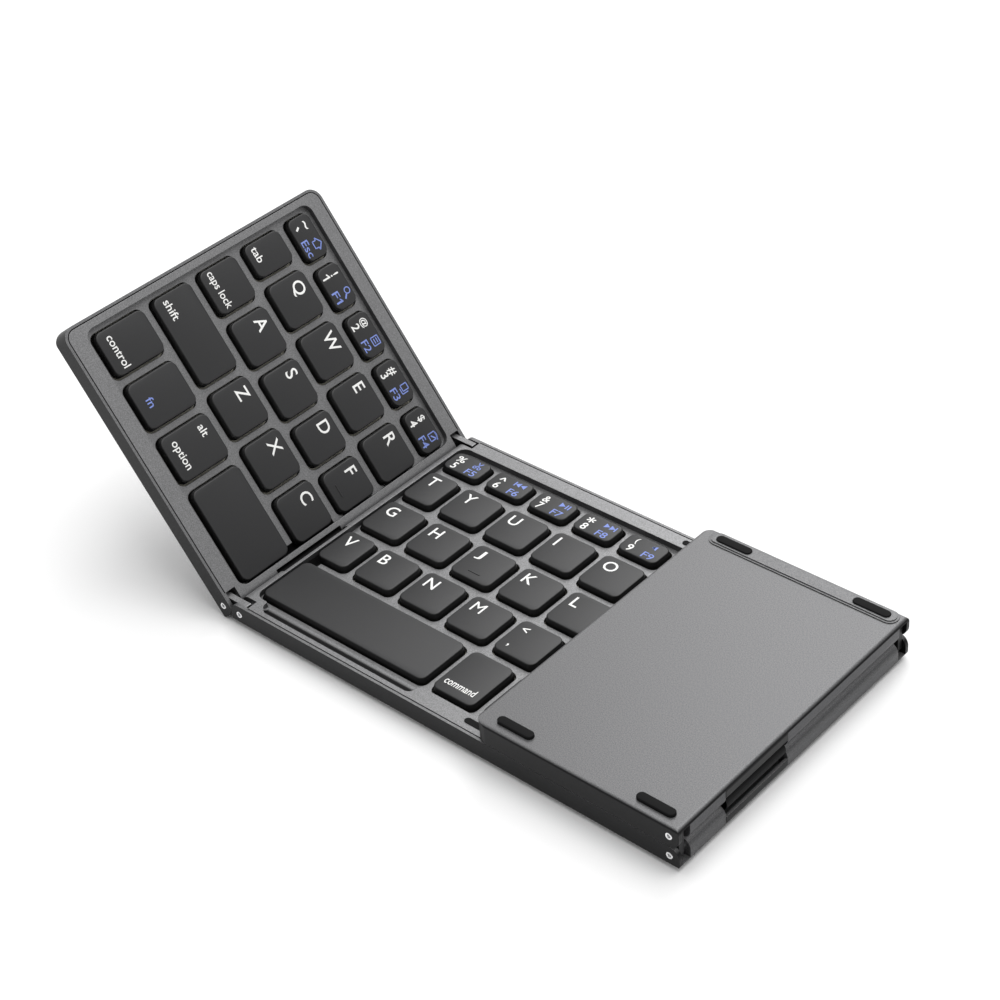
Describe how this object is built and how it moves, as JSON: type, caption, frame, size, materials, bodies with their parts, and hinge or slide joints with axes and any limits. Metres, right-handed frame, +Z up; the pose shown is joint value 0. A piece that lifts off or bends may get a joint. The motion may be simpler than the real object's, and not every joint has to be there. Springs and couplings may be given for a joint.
{
  "type": "folding keyboard",
  "caption": "Folding keyboard whose side panels turn on double hinges; the left stands part open and the right lies closed over the keys.",
  "frame": {"origin": "centre of the middle panel's flat underside; its rubber feet reach 0.9 mm lower", "axes": "+X along the row of panels to the closed right panel, +Y to the number keys, +Z up through the key tops"},
  "size_m": [0.2119, 0.0973, 0.0747],
  "materials": {
    "case": "satin dark grey anodised sheet with fine grain",
    "deck": "satin grey with a fine metallic grain",
    "key": "matt charcoal",
    "rubber": "matt black",
    "pin": "bright polished",
    "link": "satin dark grey",
    "plate": "plain sheet",
    "membrane": "printed film",
    "dome": "milky silicone",
    "board": "green solder mask",
    "socket": "plated sheet",
    "knob": "matt black",
    "touchpad": "satin black",
    "battery": "laminated foil pouch",
    "cable": "black flexible film"
  },
  "bodies": {
    "middle_panel": {"mid_case": "case", "mid_deck": "deck", "mid_plate": "plate", "mid_membrane": "membrane", "mid_domes": "dome", "mid_board": "board", "usb_socket": "socket", "mid_feet": "rubber", "mid_bumpers": "rubber", "mid_hinge_pins": "pin"},
    "left_link": {"left_links": "link", "left_ribbon_cable": "cable"},
    "left_panel": {"left_case": "case", "left_deck": "deck", "left_plate": "plate", "left_membrane": "membrane", "left_domes": "dome", "left_feet": "rubber", "left_hinge_pins": "pin"},
    "right_link": {"right_links": "link", "right_ribbon_cable": "cable"},
    "right_panel": {"right_case": "case", "right_deck": "deck", "touchpad": "touchpad", "touchpad_board": "board", "battery": "battery", "right_feet": "rubber", "right_hinge_pins": "pin"},
    "switch_knob": {"power_switch": "knob"},
    "left_number_keys": {"left_number_keys": "key"},
    "esc_key": {"esc_key": "key"},
    "left_top_letter_keys": {"left_top_letter_keys": "key"},
    "tab_key": {"tab_key": "key"},
    "left_home_letter_keys": {"left_home_letter_keys": "key"},
    "caps_lock_key": {"caps_lock_key": "key"},
    "left_low_letter_keys": {"left_low_letter_keys": "key"},
    "left_shift_key": {"left_shift_key": "key"},
    "left_space_key": {"left_space_key": "key"},
    "alt_key": {"alt_key": "key"},
    "fn_key": {"fn_key": "key"},
    "control_key": {"control_key": "key"},
    "mid_number_keys": {"mid_number_keys": "key"},
    "backspace_key": {"backspace_key": "key"},
    "mid_top_letter_keys": {"mid_top_letter_keys": "key"},
    "backslash_key": {"backslash_key": "key"},
    "mid_home_letter_keys": {"mid_home_letter_keys": "key"},
    "enter_key": {"enter_key": "key"},
    "mid_low_letter_keys": {"mid_low_letter_keys": "key"},
    "up_arrow_key": {"up_arrow_key": "key"},
    "right_shift_key": {"right_shift_key": "key"},
    "mid_space_key": {"mid_space_key": "key"},
    "command_key": {"command_key": "key"},
    "right_control_key": {"right_control_key": "key"},
    "left_arrow_key": {"left_arrow_key": "key"},
    "down_arrow_key": {"down_arrow_key": "key"},
    "right_arrow_key": {"right_arrow_key": "key"}
  },
  "joints": [
    {"name": "left_link_pivot", "type": "hinge", "parent": "middle_panel", "child": "left_link", "pos_m": [-0.0742, 0, 0.0031], "axis": [0, 1, 0], "range_deg": [0, 90], "deforming": ["left_ribbon_cable"]},
    {"name": "left_panel_pivot", "type": "hinge", "parent": "left_link", "child": "left_panel", "pos_m": [-0.0806, 0, 0.0031], "axis": [0, 1, 0], "range_deg": [-53, 37], "deforming": ["left_ribbon_cable"]},
    {"name": "right_link_pivot", "type": "hinge", "parent": "middle_panel", "child": "right_link", "pos_m": [0.0742, 0, 0.0031], "axis": [0, 1, 0], "range_deg": [0, 90], "deforming": ["right_ribbon_cable"]},
    {"name": "right_panel_pivot", "type": "hinge", "parent": "right_link", "child": "right_panel", "pos_m": [0.0742, 0, 0.0095], "axis": [0, 1, 0], "range_deg": [0, 90], "deforming": ["right_ribbon_cable"]},
    {"name": "power_switch_slide", "type": "slide", "parent": "middle_panel", "child": "switch_knob", "axis": [1, 0, 0], "range_m": [0, 0.002]},
    {"name": "left_number_press", "type": "slide", "parent": "left_panel", "child": "left_number_keys", "axis": [-0.7986, 0, -0.6018], "range_m": [0, 0.001], "stiffness_N_per_m": 330, "springref_m": -0.0005, "deforming": ["left_domes"]},
    {"name": "esc_press", "type": "slide", "parent": "left_panel", "child": "esc_key", "axis": [-0.7986, 0, -0.6018], "range_m": [0, 0.001], "stiffness_N_per_m": 330, "springref_m": -0.0005, "deforming": ["left_domes"]},
    {"name": "left_top_letter_press", "type": "slide", "parent": "left_panel", "child": "left_top_letter_keys", "axis": [-0.7986, 0, -0.6018], "range_m": [0, 0.001], "stiffness_N_per_m": 330, "springref_m": -0.0005, "deforming": ["left_domes"]},
    {"name": "tab_press", "type": "slide", "parent": "left_panel", "child": "tab_key", "axis": [-0.7986, 0, -0.6018], "range_m": [0, 0.001], "stiffness_N_per_m": 330, "springref_m": -0.0005, "deforming": ["left_domes"]},
    {"name": "left_home_letter_press", "type": "slide", "parent": "left_panel", "child": "left_home_letter_keys", "axis": [-0.7986, 0, -0.6018], "range_m": [0, 0.001], "stiffness_N_per_m": 330, "springref_m": -0.0005, "deforming": ["left_domes"]},
    {"name": "caps_lock_press", "type": "slide", "parent": "left_panel", "child": "caps_lock_key", "axis": [-0.7986, 0, -0.6018], "range_m": [0, 0.001], "stiffness_N_per_m": 330, "springref_m": -0.0005, "deforming": ["left_domes"]},
    {"name": "left_low_letter_press", "type": "slide", "parent": "left_panel", "child": "left_low_letter_keys", "axis": [-0.7986, 0, -0.6018], "range_m": [0, 0.001], "stiffness_N_per_m": 330, "springref_m": -0.0005, "deforming": ["left_domes"]},
    {"name": "left_shift_press", "type": "slide", "parent": "left_panel", "child": "left_shift_key", "axis": [-0.7986, 0, -0.6018], "range_m": [0, 0.001], "stiffness_N_per_m": 330, "springref_m": -0.0005, "deforming": ["left_domes"]},
    {"name": "left_space_press", "type": "slide", "parent": "left_panel", "child": "left_space_key", "axis": [-0.7986, 0, -0.6018], "range_m": [0, 0.001], "stiffness_N_per_m": 330, "springref_m": -0.0005, "deforming": ["left_domes"]},
    {"name": "alt_press", "type": "slide", "parent": "left_panel", "child": "alt_key", "axis": [-0.7986, 0, -0.6018], "range_m": [0, 0.001], "stiffness_N_per_m": 330, "springref_m": -0.0005, "deforming": ["left_domes"]},
    {"name": "fn_press", "type": "slide", "parent": "left_panel", "child": "fn_key", "axis": [-0.7986, 0, -0.6018], "range_m": [0, 0.001], "stiffness_N_per_m": 330, "springref_m": -0.0005, "deforming": ["left_domes"]},
    {"name": "control_press", "type": "slide", "parent": "left_panel", "child": "control_key", "axis": [-0.7986, 0, -0.6018], "range_m": [0, 0.001], "stiffness_N_per_m": 330, "springref_m": -0.0005, "deforming": ["left_domes"]},
    {"name": "mid_number_press", "type": "slide", "parent": "middle_panel", "child": "mid_number_keys", "axis": [0, 0, -1], "range_m": [0, 0.001], "stiffness_N_per_m": 330, "springref_m": -0.0005, "deforming": ["mid_domes"]},
    {"name": "backspace_press", "type": "slide", "parent": "middle_panel", "child": "backspace_key", "axis": [0, 0, -1], "range_m": [0, 0.001], "stiffness_N_per_m": 330, "springref_m": -0.0005, "deforming": ["mid_domes"]},
    {"name": "mid_top_letter_press", "type": "slide", "parent": "middle_panel", "child": "mid_top_letter_keys", "axis": [0, 0, -1], "range_m": [0, 0.001], "stiffness_N_per_m": 330, "springref_m": -0.0005, "deforming": ["mid_domes"]},
    {"name": "backslash_press", "type": "slide", "parent": "middle_panel", "child": "backslash_key", "axis": [0, 0, -1], "range_m": [0, 0.001], "stiffness_N_per_m": 330, "springref_m": -0.0005, "deforming": ["mid_domes"]},
    {"name": "mid_home_letter_press", "type": "slide", "parent": "middle_panel", "child": "mid_home_letter_keys", "axis": [0, 0, -1], "range_m": [0, 0.001], "stiffness_N_per_m": 330, "springref_m": -0.0005, "deforming": ["mid_domes"]},
    {"name": "enter_press", "type": "slide", "parent": "middle_panel", "child": "enter_key", "axis": [0, 0, -1], "range_m": [0, 0.001], "stiffness_N_per_m": 330, "springref_m": -0.0005, "deforming": ["mid_domes"]},
    {"name": "mid_low_letter_press", "type": "slide", "parent": "middle_panel", "child": "mid_low_letter_keys", "axis": [0, 0, -1], "range_m": [0, 0.001], "stiffness_N_per_m": 330, "springref_m": -0.0005, "deforming": ["mid_domes"]},
    {"name": "up_arrow_press", "type": "slide", "parent": "middle_panel", "child": "up_arrow_key", "axis": [0, 0, -1], "range_m": [0, 0.001], "stiffness_N_per_m": 330, "springref_m": -0.0005, "deforming": ["mid_domes"]},
    {"name": "right_shift_press", "type": "slide", "parent": "middle_panel", "child": "right_shift_key", "axis": [0, 0, -1], "range_m": [0, 0.001], "stiffness_N_per_m": 330, "springref_m": -0.0005, "deforming": ["mid_domes"]},
    {"name": "mid_space_press", "type": "slide", "parent": "middle_panel", "child": "mid_space_key", "axis": [0, 0, -1], "range_m": [0, 0.001], "stiffness_N_per_m": 330, "springref_m": -0.0005, "deforming": ["mid_domes"]},
    {"name": "command_press", "type": "slide", "parent": "middle_panel", "child": "command_key", "axis": [0, 0, -1], "range_m": [0, 0.001], "stiffness_N_per_m": 330, "springref_m": -0.0005, "deforming": ["mid_domes"]},
    {"name": "right_control_press", "type": "slide", "parent": "middle_panel", "child": "right_control_key", "axis": [0, 0, -1], "range_m": [0, 0.001], "stiffness_N_per_m": 330, "springref_m": -0.0005, "deforming": ["mid_domes"]},
    {"name": "left_arrow_press", "type": "slide", "parent": "middle_panel", "child": "left_arrow_key", "axis": [0, 0, -1], "range_m": [0, 0.001], "stiffness_N_per_m": 330, "springref_m": -0.0005, "deforming": ["mid_domes"]},
    {"name": "down_arrow_press", "type": "slide", "parent": "middle_panel", "child": "down_arrow_key", "axis": [0, 0, -1], "range_m": [0, 0.001], "stiffness_N_per_m": 330, "springref_m": -0.0005, "deforming": ["mid_domes"]},
    {"name": "right_arrow_press", "type": "slide", "parent": "middle_panel", "child": "right_arrow_key", "axis": [0, 0, -1], "range_m": [0, 0.001], "stiffness_N_per_m": 330, "springref_m": -0.0005, "deforming": ["mid_domes"]}
  ]
}
